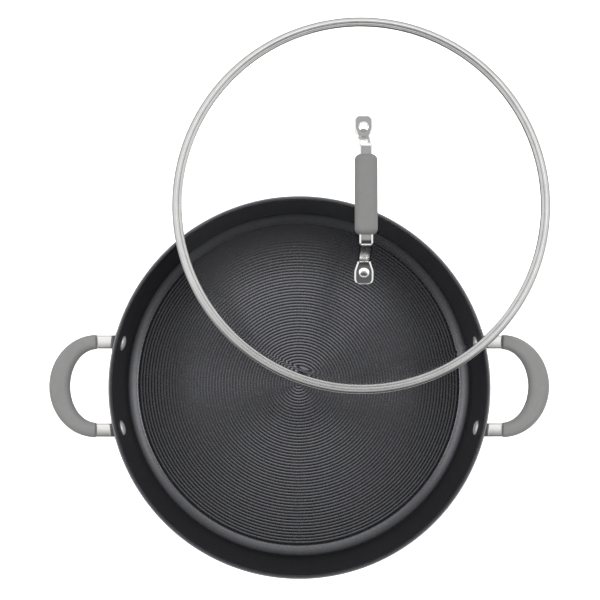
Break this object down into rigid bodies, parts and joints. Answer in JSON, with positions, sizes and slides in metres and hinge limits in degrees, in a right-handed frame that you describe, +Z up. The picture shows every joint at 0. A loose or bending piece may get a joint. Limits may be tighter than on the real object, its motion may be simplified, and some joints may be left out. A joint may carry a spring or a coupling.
{
  "type": "stockpot with lid",
  "caption": "Wide round stockpot with riveted loop handles in grey sleeves, a ringed non-stick floor and a clear domed lid with a bridge handle, lying drawn aside on the rim.",
  "frame": {"origin": "centre of the pot's underside, on the surface that it stands on", "axes": "+Z up along the pot's axis, +X from the pot's axis to its right handle, +Y to the back, the side to which the lid is drawn"},
  "size_m": [0.4118, 0.4594, 0.1785],
  "materials": {
    "anodised": "dark grey hard-anodised and non-stick, fine speckle",
    "steel": "bright satin",
    "silicone": "matte grey silicone",
    "seal": "matte pale silicone",
    "glass": "clear tempered glass"
  },
  "bodies": {
    "pot": {"pot_body": "anodised", "right_handle_bracket": "steel", "right_handle_grip": "silicone", "right_handle_rivet_front": "steel", "right_handle_rivet_back": "steel", "left_handle_bracket": "steel", "left_handle_grip": "silicone", "left_handle_rivet_front": "steel", "left_handle_rivet_back": "steel"},
    "lid": {"lid_glass": "glass", "lid_rim_band": "steel", "lid_handle_strap": "steel", "lid_handle_grip": "silicone", "lid_rivet_front": "steel", "lid_rivet_back": "steel", "lid_grommet_front": "seal", "lid_grommet_back": "seal", "lid_gasket_front": "seal", "lid_gasket_back": "seal", "lid_washer_front": "steel", "lid_washer_back": "steel"}
  },
  "joints": [
    {"name": "lid_slide", "type": "slide", "parent": "pot", "child": "lid", "axis": [-0.3223, -0.9466, 0], "range_m": [0, 0.157]}
  ]
}
